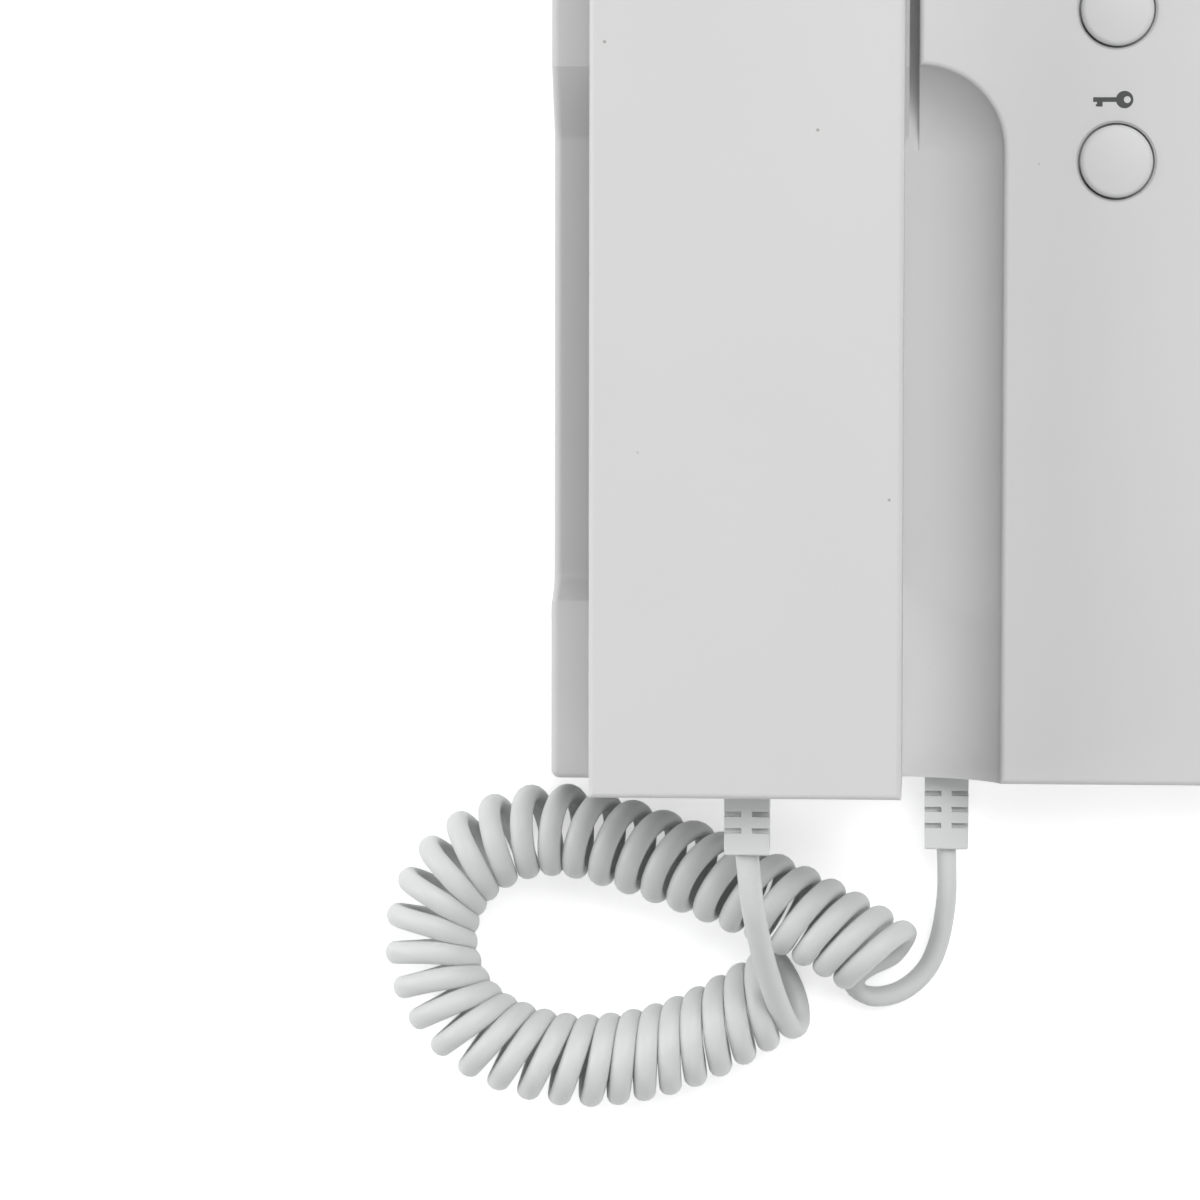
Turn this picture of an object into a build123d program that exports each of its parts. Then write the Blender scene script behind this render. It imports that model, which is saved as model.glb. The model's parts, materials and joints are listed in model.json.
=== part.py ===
from build123d import *
from math import asin, cos, degrees, pi, radians, sin, sqrt, tan
import os

os.makedirs("parts", exist_ok=True)

# An intercom extension phone, lying on its back. X runs across the wall, Y up the wall and Z out
# of it. The origin is the centre of the back face. All lengths are in millimetres.

# Body
body_width = 130.0
body_height = 198.0
body_corner = 1.5
plate_thickness = 2.5
wall = 2.0
panel_z = 25.0
lobe_z = 21.0
edge_round = 1.0
rim_round = 1.4
fit_gap = 0.15

# How far a cut reaches past the faces that it opens
cut_reach = 10.0

# Handset: it is as long as the body that it lies in
handset_x = -30.6
handset_width = 52.0
handset_length = body_height
handset_front_z = 50.0
handset_gap = 0.3
grip_z = 31.0
grip_top_run = 12.0
grip_bottom_run = 8.0
handset_wall = 2.0
handset_seam_z = 38.0
handset_round = 0.9
handset_screw_inset = 6.5
grip_screw_inset = 20.0
handset_screw_reach = 9.0
handset_boss_d = 6.5
seam_gap = 0.02

# Pads that the handset lies on, and the finger scoop between them, open to the left
upper_pad_length = 76.0
lower_pad_length = 30.7
lower_pad_step = 0.4
scoop_top_run = 12.0
scoop_bottom_run = 3.3
scoop_round = 2.0

# Raised panel, the groove that parts it from the upper pad, and the cove beside the handset
panel_gap = 2.3
groove_width = 1.7
cove_radius = 19.5
cove_width = 16.6
cove_top_rise = 0.1

# Earpiece and mouthpiece, with bosses that drop into pockets of the pads
ear_inset = 31.0
ear_boss_drop = 4.7
speaker_d = 32.0
speaker_side_gap = 1.0
speaker_height = 8.0
speaker_rim = 3.0
speaker_cone = 2.0
gasket_height = 1.0
gasket_width = 2.5
mouth_inset = 19.0
mouth_boss_d = 16.0
mouth_boss_drop = 3.0
pocket_side_gap = 1.5
pocket_floor_gap = 1.3
microphone_d = 6.0
microphone_height = 3.4
microphone_play = 0.1
microphone_boot_wall = 1.6
sound_hole_d = 1.8
sound_ring_radii = (5.0, 9.5)
sound_ring_holes = (6, 10)

# Buttons
button_inset = 34.0
door_button_drop = 92.0
button_spacing = 25.6
button_d = 12.3
button_ring_gap = 0.35
button_bevel = 0.4
button_proud = 1.8
button_edge_round = 0.9
button_flange_width = 2.1
button_flange_thickness = 1.2
button_flange_gap = 0.1
button_travel = 0.8
button_stem_d = 5.0
stem_gap = 0.05
switch_size = 6.0
switch_height = 3.6
switch_chamfer = 0.4
plunger_d = 3.5
plunger_play = 0.08
plunger_proud = 1.1
plunger_seat = 1.0
plunger_chamfer = 0.25

# Circuit board, on posts of the back plate
board_drop = 12.2
board_side_gap = 2.0
board_cove_gap = 1.0
board_top_gap = 7.0
board_bottom_gap = 35.0
board_thickness = 1.6
post_d = 6.5
post_inset = 4.0
post_bore_d = 2.0
screw_clear_d = 2.9
pilot_play = 0.05
screw_head_d = 4.8
screw_head_height = 1.7
screw_grip = 5.0
slot_width = 0.8

# Wiring terminals
terminal_ways = 4
terminal_pitch = 5.08
terminal_depth = 8.0
terminal_height = 9.0
terminal_inset = 7.0
terminal_drop = 25.0
terminal_screw_d = 3.0
terminal_screw_play = 0.1
terminal_screw_depth = 4.5
terminal_chamfer = 1.2
wire_hole = 2.8
wire_hole_z = 2.4

# Capacitors, speech chip, relay and the header of the jack's wires
capacitor_d = 8.0
capacitor_height = 9.0
capacitor_inset = 13.0
capacitor_drop = 9.0
capacitor_spacing = 10.0
small_capacitor_d = 6.4
small_capacitor_height = 7.0
small_capacitor_inset = 11.0
small_capacitor_drop = 38.0
chip_size = (7.6, 19.0, 3.4)
chip_inset = (23.0, 32.0)
relay_size = (10.0, 15.0, 8.6)
relay_inset = (11.0, 14.0)
header_size = (6.0, 12.0, 5.0)
header_inset = (15.0, 13.5)

# Call sounder
sounder_d = 22.0
sounder_height = 8.0
sounder_inset = 1.5
sounder_drop = 27.0
sounder_round = 0.8
sounder_port_d = 4.0
sound_slots = 5
sound_slot_width = 1.6
sound_slot_length = 11.0
sound_slot_pitch = 4.0
sound_slot_rise = 1.0

# Hook lever, its pin and its switch
lever_x = handset_x
lever_pivot_drop = 15.0
lever_top_gap = 1.0
lever_hub_d = 6.0
lever_pin_d = 2.5
lever_pin_clear = 0.04
lever_width = 5.0
lever_thickness = 3.6
lever_reach = 17.0
lever_tip_length = 4.4
lever_tip_round = 1.2
lever_slot_length = 10.0
lever_slot_play = 0.8
lever_ear_width = 2.5
lever_side_play = 0.3
pin_chamfer = 0.2
hook_switch_width = 6.5
hook_switch_length = 12.8
hook_switch_side_gap = 0.6
hook_switch_end_gap = 1.2
pusher_width = 2.6
pusher_length = 1.4
pusher_proud = 0.5
finger_length = 7.0
finger_width = 3.4
finger_gap = 0.2

# Lip of the back plate, which the front housing slips over
lip_thickness = 1.6
lip_height = 3.0

# Wall screws and cable entry
wall_screw_spacing = 60.0
wall_slot_d = 4.5
wall_slot_length = 8.0
cable_entry_x = 0.0
cable_entry_width = 18.0
cable_entry_height = 24.0
cable_entry_corner = 2.0

# Screw that closes the body, from below
closing_inset = 19.0
closing_z = 8.0
closing_post = 8.0
closing_length = 12.0
closing_shank_d = 3.0
closing_play = 0.2
closing_pilot_d = 2.5
closing_head_d = 5.6
closing_head_height = 2.0

# Modular plugs and jacks
plug_width = 7.6
plug_height = 6.2
plug_nose = 11.0
plug_play = 0.2
plug_edge = 0.4
boot_collar = 4.2
boot_root = 2.0
boot_slot_pitch = 2.8
boot_slot_height = 0.9
boot_slot_side = 1.8
boot_slot_depth = 1.2
jack_wall = 1.2
jack_side = 2.0
jack_back = 2.8
jack_play = 0.1
jack_top_gap = 0.4
body_plug_x = 3.05
body_boot_length = 13.1
handset_plug_z = 36.0
handset_boot_length = 10.8

# Curly cord
cable_d = 3.6
curl_radius = 6.6
curl_floor = 0.0
coil_start = (-26.3, -137.9)
coil_heading = 213.0
# each stretch of the coil: its length, how far it turns to the left, and its curls
coil_stretches = [
    (39.4, -34.0, 8.5),
    (27.8, -66.0, 4.9),
    (35.6, -111.5, 5.4),
    (23.7, -23.6, 4.7),
    (40.5, -4.0, 8.0),
]
coil_first = 0.125
coil_last = 0.5
coil_facets = 6
lead_facets = 8

# Values worked out from those above
half_width = body_width / 2
half_height = body_height / 2
inner_panel_z = panel_z - wall

# the jack stands on the back plate, and the floor of the cove and the scoop is just above it
jack_width = plug_width + 2 * (plug_play + jack_side)
jack_height = plug_height + 2 * (plug_play + jack_wall)
jack_depth = plug_nose + plug_play + jack_back
body_plug_z = plate_thickness + jack_play + jack_height / 2
floor_z = body_plug_z + jack_height / 2 + jack_top_gap + wall

# the handset's grip spans the scoop
handset_right = handset_x + handset_width / 2
handset_rear_z = lobe_z + handset_gap
scoop_top = half_height - upper_pad_length
scoop_bottom = -half_height + lower_pad_length
grip_top = scoop_top
grip_bottom = scoop_bottom + handset_gap
lower_pad_right = handset_right - lower_pad_step

cove_start = handset_right
cove_right = cove_start + cove_width
panel_left = handset_right + panel_gap
groove_left = panel_left - groove_width
corner_radius = cove_right - panel_left
corner_y = scoop_top + cove_top_rise - corner_radius

ear_y = half_height - ear_inset
ear_boss_d = speaker_d + 2 * (speaker_side_gap + handset_wall)
ear_boss_z = handset_rear_z - ear_boss_drop
ear_pocket_d = ear_boss_d + 2 * pocket_side_gap
ear_pocket_depth = ear_boss_drop + pocket_floor_gap
mouth_y = -half_height + mouth_inset
mouth_boss_z = handset_rear_z - mouth_boss_drop
mouth_pocket_d = mouth_boss_d + 2 * pocket_side_gap
mouth_pocket_depth = mouth_boss_drop + pocket_floor_gap

board_left = cove_right + wall + board_cove_gap
board_right = half_width - wall - board_side_gap
board_front = -half_height + wall + board_bottom_gap
board_back = half_height - wall - board_top_gap
board_z = inner_panel_z - board_drop
board_top = board_z + board_thickness

button_x = half_width - button_inset
door_button_y = half_height - door_button_drop
call_button_y = door_button_y + button_spacing
button_flange_d = button_d + 2 * button_flange_width
switch_top = board_top + switch_height
plunger_top = switch_top + plunger_proud

# the lever turns below the pocket of the earpiece
lever_pivot_y = ear_y - lever_pivot_drop
lever_pivot_z = lobe_z - ear_pocket_depth - wall - lever_top_gap - lever_hub_d / 2
closing_x = half_width - closing_inset

curl_z = curl_floor + cable_d / 2 + curl_radius
coil_curls = sum(curls for length, turn, curls in coil_stretches)


# how a solid is placed that stands on its place
standing = (Align.CENTER, Align.CENTER, Align.MIN)


def save(part, name):
    part.label = name
    export_step(part, f"parts/{name}.step")


# Back plate: a flat tray with a lip that the front housing slips over
lip_inset = wall + fit_gap
post_places = [
    (x, y)
    for x in (board_left + post_inset, board_right - post_inset)
    for y in (board_front + post_inset, board_back - post_inset)
]
ear_offset = lever_width / 2 + lever_side_play + lever_ear_width / 2
hook_switch_x = lever_x + lever_width / 2 + lever_side_play + hook_switch_side_gap + hook_switch_width / 2
hook_switch_y = lever_pivot_y - lever_hub_d / 2 - hook_switch_end_gap - hook_switch_length / 2
closing_post_y = -half_height + wall + fit_gap + lip_thickness

with BuildPart() as back_plate:
    with BuildSketch():
        RectangleRounded(body_width, body_height, body_corner)
    extrude(amount=plate_thickness)
    with BuildSketch(Plane.XY.offset(plate_thickness)):
        Rectangle(body_width - 2 * lip_inset, body_height - 2 * lip_inset)
        Rectangle(
            body_width - 2 * (lip_inset + lip_thickness),
            body_height - 2 * (lip_inset + lip_thickness),
            mode=Mode.SUBTRACT,
        )
        # the lip stops short of the jack
        with Locations((body_plug_x, -half_height + lip_inset)):
            Rectangle(jack_width + 4 * fit_gap, 6 * lip_thickness, mode=Mode.SUBTRACT)
    extrude(amount=lip_height)
    with BuildSketch(Plane.XY.offset(plate_thickness)):
        with Locations(post_places):
            Circle(post_d / 2)
    extrude(amount=board_z - plate_thickness)
    with Locations([(x, y, board_z) for x, y in post_places]):
        Hole(post_bore_d / 2, depth=board_z - plate_thickness)
    with Locations((closing_x, closing_post_y + closing_post / 2, plate_thickness)):
        Box(
            closing_post,
            closing_post,
            closing_z + closing_post / 2 - plate_thickness,
            align=standing,
        )
    with Locations(Plane(origin=(closing_x, closing_post_y, closing_z), z_dir=(0, -1, 0))):
        Hole(closing_pilot_d / 2, depth=2 * closing_post)
    # ears of the hook lever
    with Locations([(lever_x + side * ear_offset, lever_pivot_y, plate_thickness) for side in (-1, 1)]):
        Box(
            lever_ear_width,
            lever_hub_d,
            lever_pivot_z + lever_hub_d / 2 - plate_thickness,
            align=standing,
        )
    with Locations(Plane(origin=(lever_x, lever_pivot_y, lever_pivot_z), z_dir=(1, 0, 0))):
        Hole(lever_pin_d / 2)
    # wall screw slots and cable entry
    with BuildSketch():
        with Locations((cable_entry_x, wall_screw_spacing / 2), (cable_entry_x, -wall_screw_spacing / 2)):
            SlotOverall(wall_slot_length, wall_slot_d, rotation=90)
        with Locations((cable_entry_x, 0)):
            RectangleRounded(cable_entry_width, cable_entry_height, cable_entry_corner)
    extrude(amount=plate_thickness, mode=Mode.SUBTRACT)
save(back_plate.part, "back_plate")


# Front housing: the same form is made twice, once as the outside and once set in by the wall
def cove_profile(left, inset):
    """The space over the cove, seen from below the phone, grown by the wall for the inside."""
    sweep_angle = degrees(asin((cove_right - cove_start) / cove_radius))
    above = panel_z + cut_reach
    with BuildSketch(Plane.XZ.offset(-corner_y)) as profile:
        with BuildLine():
            cove = CenterArc((cove_start, floor_z + cove_radius), cove_radius, 270, sweep_angle)
            pad_side = (lower_pad_right, floor_z)
            Polyline(cove @ 1, (cove_right, above), (lower_pad_right, above), pad_side, cove @ 0)
        make_face()
        if inset > 0:
            offset(amount=inset, kind=Kind.INTERSECTION)
        if left > lower_pad_right:
            with Locations((left + body_width, above)):
                Rectangle(2 * body_width, 4 * above, mode=Mode.INTERSECT)
    return profile.sketch


def front_form(inset):
    """The solid outline of the front housing, set in by the wall when it is the inside."""
    bottom = plate_thickness - inset
    with BuildPart() as form:
        with BuildSketch(Plane.XY.offset(bottom)):
            RectangleRounded(body_width - 2 * inset, body_height - 2 * inset, body_corner - inset / 2)
        extrude(amount=panel_z - inset - bottom)
        # left of the panel the housing is lower
        with Locations((panel_left + inset, 0, lobe_z - inset)):
            Box(
                body_width,
                2 * body_height,
                panel_z,
                align=(Align.MAX, Align.CENTER, Align.MIN),
                mode=Mode.SUBTRACT,
            )
        # groove beside the upper pad
        with Locations((panel_left + inset, corner_y - inset, floor_z - inset)):
            Box(
                groove_width + 2 * inset,
                body_height,
                panel_z,
                align=(Align.MAX, Align.MIN, Align.MIN),
                mode=Mode.SUBTRACT,
            )
        # finger scoop, rounded where its floor meets its slopes
        with BuildSketch(Plane.YZ.offset(groove_left + inset)) as scoop:
            with BuildLine():
                Polyline(
                    (scoop_top, panel_z + cut_reach),
                    (scoop_top, lobe_z),
                    (scoop_top - scoop_top_run, floor_z),
                    (scoop_bottom + scoop_bottom_run, floor_z),
                    (scoop_bottom, lobe_z),
                    (scoop_bottom, panel_z + cut_reach),
                    close=True,
                )
            make_face()
            fillet(scoop.vertices().group_by(Axis.Y)[0], scoop_round)
            if inset > 0:
                offset(amount=inset, kind=Kind.INTERSECTION)
        extrude(amount=-body_width, mode=Mode.SUBTRACT)
        # cove beside the handset, turned through a quarter circle at its top
        extrude(
            cove_profile(lower_pad_right, inset),
            amount=corner_y + half_height + cut_reach,
            mode=Mode.SUBTRACT,
        )
        revolve(
            cove_profile(panel_left, inset),
            axis=Axis((panel_left, corner_y, 0), (0, 0, 1)),
            revolution_arc=90,
            mode=Mode.SUBTRACT,
        )
        # pockets that the earpiece and the mouthpiece drop into
        for y, diameter, depth in (
            (ear_y, ear_pocket_d, ear_pocket_depth),
            (mouth_y, mouth_pocket_d, mouth_pocket_depth),
        ):
            with Locations((handset_x, y, lobe_z - depth - inset)):
                Cylinder(
                    diameter / 2 + inset,
                    panel_z,
                    align=standing,
                    mode=Mode.SUBTRACT,
                )
    return form


outside = front_form(0)
inside = front_form(wall)
sound_slot_z = (plate_thickness + lip_height + inner_panel_z) / 2 + sound_slot_rise
sounder_y = half_height - sounder_drop
lever_slot_y = lever_pivot_y - lever_reach

with BuildPart() as front_housing:
    add(outside.part)
    # the front edges are rounded
    fillet(front_housing.faces().sort_by(Axis.Z)[-1].edges(), edge_round)
    left_edges = front_housing.faces().sort_by(Axis.X)[0].edges()
    fillet(left_edges.filter_by_position(Axis.Z, floor_z - seam_gap, panel_z), rim_round)
    add(inside.part, mode=Mode.SUBTRACT)
    # round holes of the two buttons, each with a small bevel
    with Locations([(button_x, y, panel_z) for y in (door_button_y, call_button_y)]):
        CounterSinkHole(
            button_d / 2 + button_ring_gap,
            button_d / 2 + button_ring_gap + button_bevel,
            depth=2 * wall,
            counter_sink_angle=90,
        )
    # slot of the hook lever
    with BuildSketch(Plane.XY.offset(lobe_z)):
        with Locations((lever_x, lever_slot_y + lever_slot_length / 2 - lever_slot_play)):
            Rectangle(lever_width + lever_slot_play, lever_slot_length)
    extrude(amount=-1.5 * wall, mode=Mode.SUBTRACT)
    # sound slots beside the call sounder
    with BuildSketch(Plane.YZ.offset(half_width)):
        with Locations((sounder_y, sound_slot_z)):
            with GridLocations(sound_slot_pitch, 0, sound_slots, 1):
                SlotOverall(sound_slot_length, sound_slot_width, rotation=90)
    extrude(amount=-1.5 * wall, mode=Mode.SUBTRACT)
    # mouth of the jack, and the hole of the closing screw
    with Locations((body_plug_x, -half_height, body_plug_z)):
        Box(plug_width + 2 * plug_play, 3 * wall, plug_height + 2 * plug_play, mode=Mode.SUBTRACT)
    with Locations(Plane(origin=(closing_x, -half_height, closing_z), z_dir=(0, -1, 0))):
        CounterBoreHole(
            closing_shank_d / 2 + closing_play,
            closing_head_d / 2 + closing_play,
            wall / 2,
            depth=2 * wall,
        )
save(front_housing.part, "front_housing")


# Push buttons: a domed cap with a flange that holds it behind the panel, and a stem below
cap_top = panel_z + button_proud
flange_top = inner_panel_z - button_flange_gap
stem_foot = plunger_top + stem_gap


def push_button(y):
    with BuildPart() as button:
        with BuildSketch(Plane.XZ):
            with BuildLine():
                Polyline(
                    (0, cap_top),
                    (button_d / 2, cap_top),
                    (button_d / 2, flange_top),
                    (button_flange_d / 2, flange_top),
                    (button_flange_d / 2, flange_top - button_flange_thickness),
                    (button_stem_d / 2, flange_top - button_flange_thickness),
                    (button_stem_d / 2, stem_foot),
                    (0, stem_foot),
                    close=True,
                )
            make_face()
        revolve(axis=Axis.Z)
        fillet(button.edges().sort_by(Axis.Z)[-1], button_edge_round)
    return button.part.moved(Location((button_x, y, 0)))


def tact_switch(y):
    """Body of a push switch on the board, with the bore that its plunger slides in."""
    with BuildPart() as switch:
        with Locations((button_x, y, board_top)):
            Box(switch_size, switch_size, switch_height, align=standing)
        chamfer(switch.edges().filter_by(Axis.Z), switch_chamfer)
        with Locations((button_x, y, switch_top)):
            Hole(plunger_d / 2 + plunger_play, depth=plunger_seat + 1.25 * button_travel)
    return switch.part


def plunger(y):
    with BuildPart() as piece:
        with Locations((button_x, y, switch_top - plunger_seat)):
            Cylinder(plunger_d / 2, plunger_seat + plunger_proud, align=standing)
        chamfer(piece.edges().group_by(Axis.Z)[-1], plunger_chamfer)
    return piece.part


for name, y in (("door", door_button_y), ("call", call_button_y)):
    save(push_button(y), f"{name}_button")
    save(tact_switch(y), f"{name}_switch")
    save(plunger(y), f"{name}_switch_plunger")


# Circuit board and what stands on it
with BuildPart() as main_board:
    with Locations((board_left, board_front, board_z)):
        Box(board_right - board_left, board_back - board_front, board_thickness, align=Align.MIN)
    with Locations([(x, y, board_top) for x, y in post_places]):
        Hole(screw_clear_d / 2)
save(main_board.part, "main_board")


def slotted_screw(head_d, head_height, shank_d, length):
    """A cheese-head screw standing at the origin, head up, with its shank below z = 0."""
    with BuildPart() as screw:
        Cylinder(head_d / 2, head_height, align=standing)
        Cylinder(shank_d / 2, length, align=(Align.CENTER, Align.CENTER, Align.MAX))
        with Locations((0, 0, head_height)):
            Box(head_d, slot_width, head_height, mode=Mode.SUBTRACT)
        chamfer(screw.edges().group_by(Axis.Z)[0], shank_d / 8)
    return screw.part


board_shank_d = post_bore_d - 2 * pilot_play
board_screw = slotted_screw(screw_head_d, screw_head_height, board_shank_d, board_thickness + screw_grip)
screws = [board_screw.moved(Location((x, y, board_top))) for x, y in post_places]
save(Compound(children=screws), "board_screws")

terminal_length = terminal_ways * terminal_pitch
terminal_x = board_left + terminal_inset
terminal_y = door_button_y - terminal_drop
terminal_places = [
    (terminal_x, terminal_y + (way - (terminal_ways - 1) / 2) * terminal_pitch)
    for way in range(terminal_ways)
]
with BuildPart() as terminal_block:
    with Locations((terminal_x, terminal_y, board_top)):
        Box(terminal_depth, terminal_length, terminal_height, align=standing)
    chamfer(terminal_block.edges().filter_by(Axis.Y).group_by(Axis.Z)[-1], terminal_chamfer)
    with Locations([(x, y, board_top + terminal_height) for x, y in terminal_places]):
        Hole(terminal_screw_d / 2 + terminal_screw_play, depth=terminal_screw_depth)
    with Locations([(x - terminal_depth / 2, y, board_top + wire_hole_z) for x, y in terminal_places]):
        Box(terminal_depth / 2, wire_hole, wire_hole, mode=Mode.SUBTRACT)
save(terminal_block.part, "terminal_block")

with BuildPart() as terminal_screw:
    terminal_screw_length = terminal_screw_depth - slot_width
    Cylinder(terminal_screw_d / 2, terminal_screw_length, align=standing)
    with Locations((0, 0, terminal_screw_length)):
        Box(terminal_screw_d, slot_width, 2 * slot_width, mode=Mode.SUBTRACT)
screw_seat = board_top + terminal_height - terminal_screw_depth
screws = [terminal_screw.part.moved(Location((x, y, screw_seat))) for x, y in terminal_places]
save(Compound(children=screws), "terminal_screws")

sounder_x = board_right - sounder_inset - sounder_d / 2
with BuildPart() as call_sounder:
    with Locations((sounder_x, sounder_y, board_top)):
        Cylinder(sounder_d / 2, sounder_height, align=standing)
    fillet(call_sounder.edges().group_by(Axis.Z)[-1], sounder_round)
    with Locations((sounder_x, sounder_y, board_top + sounder_height)):
        Hole(sounder_port_d / 2, depth=sounder_height / 2)
save(call_sounder.part, "call_sounder")

with BuildPart() as board_parts:
    for number in range(2):
        y = door_button_y - capacitor_drop - number * capacitor_spacing
        with Locations((board_right - capacitor_inset, y, board_top)):
            Cylinder(capacitor_d / 2, capacitor_height, align=standing)
    with Locations((board_left + small_capacitor_inset, board_back - small_capacitor_drop, board_top)):
        Cylinder(small_capacitor_d / 2, small_capacitor_height, align=standing)
    for size, x, y in (
        (chip_size, board_right - chip_inset[0], board_front + chip_inset[1]),
        (relay_size, board_right - relay_inset[0], board_front + relay_inset[1]),
        (header_size, board_left + header_inset[0], board_front + header_inset[1]),
    ):
        with Locations((x, y, board_top)):
            Box(*size, align=standing)
save(board_parts.part, "board_components")


# Hook lever: it turns on a pin between two ears and its tip comes up through the upper pad
pivot = Plane(origin=(lever_x, lever_pivot_y, lever_pivot_z), x_dir=(0, 1, 0), z_dir=(1, 0, 0))
tip_height = lobe_z - lever_pivot_z
with BuildPart() as hook_lever:
    with BuildSketch(pivot):
        Circle(lever_hub_d / 2)
        with Locations((0, 0)):
            Rectangle(lever_reach, lever_thickness, align=(Align.MAX, Align.CENTER))
        with Locations((-lever_reach, -lever_thickness / 2)):
            Rectangle(lever_tip_length, tip_height + lever_thickness / 2, align=(Align.MIN, Align.MIN))
    extrude(amount=lever_width / 2, both=True)
    tip_edges = hook_lever.edges().filter_by(Axis.X).group_by(Axis.Z)[-1]
    fillet(tip_edges, lever_tip_round)
    # side finger that rests on the switch
    with BuildSketch(pivot.offset(lever_width / 2)):
        with Locations((-lever_reach + lever_tip_length, 0)):
            Rectangle(finger_width, lever_thickness / 2, align=(Align.MIN, Align.MIN))
    extrude(amount=finger_length)
    with Locations(Plane(origin=(lever_x, lever_pivot_y, lever_pivot_z), z_dir=(1, 0, 0))):
        Hole(lever_pin_d / 2 + lever_pin_clear)
save(hook_lever.part, "hook_lever")

pin_length = 2 * ear_offset + lever_ear_width
with BuildPart() as lever_pin:
    with BuildSketch(pivot.offset(-pin_length / 2)):
        Circle(lever_pin_d / 2)
    extrude(amount=pin_length)
    chamfer(lever_pin.edges(), pin_chamfer)
save(lever_pin.part, "hook_lever_pin")

finger_y = lever_pivot_y - lever_reach + lever_tip_length + finger_width / 2
pusher_height = lever_pivot_z - finger_gap - plate_thickness
with BuildPart() as hook_switch:
    with Locations((hook_switch_x, hook_switch_y, plate_thickness)):
        Box(
            hook_switch_width,
            hook_switch_length,
            pusher_height - pusher_proud,
            align=standing,
        )
    with Locations((hook_switch_x, finger_y, plate_thickness)):
        Box(pusher_width, pusher_length, pusher_height, align=standing)
save(hook_switch.part, "hook_switch")


# Jack and plug: the plug's nose goes into the jack, its slotted boot stays outside
def jack():
    """A modular jack that opens toward -Y, with its mouth at the origin."""
    with BuildPart() as body:
        Box(jack_width, jack_depth, jack_height, align=(Align.CENTER, Align.MIN, Align.CENTER))
        Box(
            plug_width + 2 * plug_play,
            plug_nose + plug_play,
            plug_height + 2 * plug_play,
            align=(Align.CENTER, Align.MIN, Align.CENTER),
            mode=Mode.SUBTRACT,
        )
    return body.part


def plug(boot_length):
    """A modular plug with its boot: the outside face of the wall is at y = 0, the nose is at +Y."""
    with BuildPart() as body:
        Box(plug_width, plug_nose + wall, plug_height, align=(Align.CENTER, Align.MIN, Align.CENTER))
        chamfer(body.edges().group_by(Axis.Y)[-1], plug_edge)
        Box(plug_width, boot_length, plug_height, align=(Align.CENTER, Align.MAX, Align.CENTER))
        fillet(body.edges().group_by(Axis.Y)[0], plug_edge)
        # rows of slots on the front and the back make the boot bend
        rows = int((boot_length - boot_collar - boot_root) / boot_slot_pitch) + 1
        for row in range(rows):
            y = -boot_length + boot_collar + row * boot_slot_pitch
            for side in (-1, 1):
                for face in (-1, 1):
                    with Locations((side * plug_width / 2, y, face * plug_height / 2)):
                        Box(
                            plug_width - boot_slot_side,
                            boot_slot_height,
                            2 * boot_slot_depth,
                            mode=Mode.SUBTRACT,
                        )
    return body.part


handset_end = -handset_length / 2
body_jack_y = -half_height + wall + fit_gap
handset_jack_y = handset_end + handset_wall + fit_gap
save(jack().moved(Location((body_plug_x, body_jack_y, body_plug_z))), "body_jack")
save(jack().moved(Location((handset_x, handset_jack_y, handset_plug_z))), "handset_jack")
save(plug(body_boot_length).moved(Location((body_plug_x, -half_height, body_plug_z))), "body_plug")
save(plug(handset_boot_length).moved(Location((handset_x, handset_end, handset_plug_z))), "handset_plug")

closing_shank = slotted_screw(
    closing_head_d, closing_head_height, closing_pilot_d - 2 * pilot_play, closing_length
)
closing_seat = Plane(origin=(closing_x, -half_height + wall / 2, closing_z), z_dir=(0, -1, 0))
save(closing_shank.moved(closing_seat.location), "closing_screw")


# Handset: the same form is made as outside and as inside, then parted at the seam
def handset_form(inset):
    """The solid outline of the handset, set in by its wall when it is the inside."""
    with BuildPart() as form:
        with BuildSketch(Plane.YZ.offset(handset_x - handset_width / 2 + inset)):
            with BuildLine():
                Polyline(
                    (-handset_length / 2, handset_front_z),
                    (-handset_length / 2, handset_rear_z),
                    (grip_bottom, handset_rear_z),
                    (grip_bottom + grip_bottom_run, grip_z),
                    (grip_top - grip_top_run, grip_z),
                    (grip_top, handset_rear_z),
                    (handset_length / 2, handset_rear_z),
                    (handset_length / 2, handset_front_z),
                    close=True,
                )
            make_face()
            if inset > 0:
                offset(amount=-inset, kind=Kind.INTERSECTION)
        extrude(amount=handset_width - 2 * inset)
        if inset == 0:
            fillet(form.faces().sort_by(Axis.Z)[-1].edges(), handset_round)
            rear_edges = form.faces().filter_by_position(Axis.Z, 0, grip_z + seam_gap).edges()
            fillet(rear_edges.filter_by_position(Axis.Z, 0, grip_z + seam_gap), handset_round / 2)
        # bosses of the earpiece and the mouthpiece
        for y, diameter, z in ((ear_y, ear_boss_d, ear_boss_z), (mouth_y, mouth_boss_d, mouth_boss_z)):
            with Locations((handset_x, y, z + inset)):
                Cylinder(
                    diameter / 2 - inset,
                    handset_rear_z + handset_wall - z,
                    align=standing,
                )
    return form


handset_outside = handset_form(0)
handset_inside = handset_form(handset_wall)
jack_foot_z = handset_plug_z - jack_height / 2
inner_rear_z = handset_rear_z + handset_wall
# one handset screw at the earpiece end and one in the grip
handset_screw_places = [
    (handset_x, handset_length / 2 - handset_screw_inset, handset_rear_z),
    (handset_x, grip_bottom + grip_screw_inset, grip_z),
]


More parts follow.
